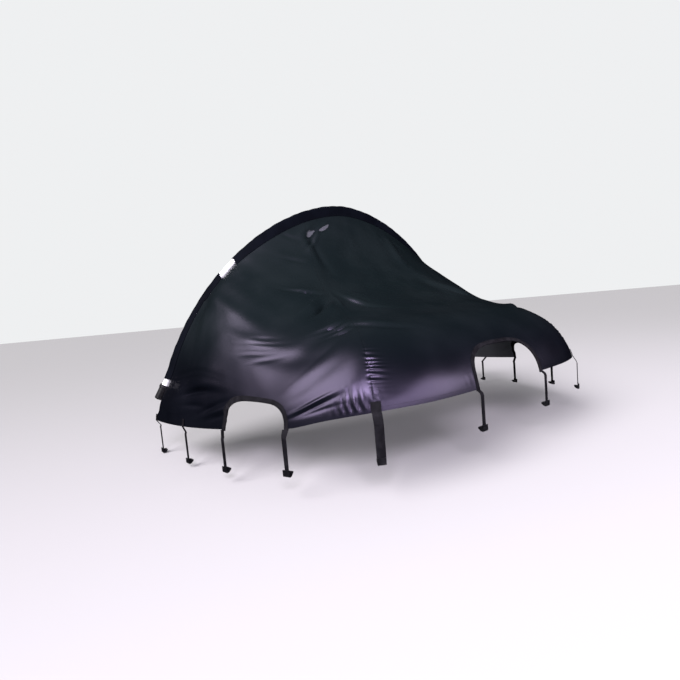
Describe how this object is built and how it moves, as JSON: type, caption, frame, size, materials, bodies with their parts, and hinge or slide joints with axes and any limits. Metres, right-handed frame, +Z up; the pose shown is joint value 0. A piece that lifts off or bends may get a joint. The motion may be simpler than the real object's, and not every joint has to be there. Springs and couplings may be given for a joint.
{
  "type": "boat bow cover with arch hoop",
  "caption": "Fitted cloth cover for an inflatable boat's bow, held up at the rear by a sleeved arch hoop and hooked under the rub strake by straps.",
  "frame": {"origin": "on the boat's centre line between the hoop's feet, level with the rub strake's middle line amidships", "axes": "+X to the boat's starboard side, -Y towards the bow, +Z up"},
  "size_m": [1.6156, 0.8799, 0.896],
  "materials": {
    "satin_nylon": "satin",
    "sleeve_cloth": "matte",
    "webbing": "matte",
    "moulded_plastic": "matte",
    "aluminium": "satin"
  },
  "bodies": {
    "root": {"panel_bow": "satin_nylon", "panel_right": "satin_nylon", "panel_left": "satin_nylon", "sleeve_top": "sleeve_cloth", "sleeve_right": "sleeve_cloth", "sleeve_left": "sleeve_cloth", "binding_bow": "webbing", "binding_right": "webbing", "binding_left": "webbing", "strap_right_1": "webbing", "strap_right_2": "webbing", "strap_right_3": "webbing", "strap_right_4": "webbing", "strap_right_5": "webbing", "strap_right_6": "webbing", "strap_left_1": "webbing", "strap_left_2": "webbing", "strap_left_3": "webbing", "strap_left_4": "webbing", "strap_left_5": "webbing", "strap_left_6": "webbing", "hook_right_1": "moulded_plastic", "hook_right_2": "moulded_plastic", "hook_right_3": "moulded_plastic", "hook_right_4": "moulded_plastic", "hook_right_5": "moulded_plastic", "hook_right_6": "moulded_plastic", "hook_left_1": "moulded_plastic", "hook_left_2": "moulded_plastic", "hook_left_3": "moulded_plastic", "hook_left_4": "moulded_plastic", "hook_left_5": "moulded_plastic", "hook_left_6": "moulded_plastic", "hoop_pole": "aluminium", "socket_right": "moulded_plastic", "socket_left": "moulded_plastic"}
  },
  "joints": []
}
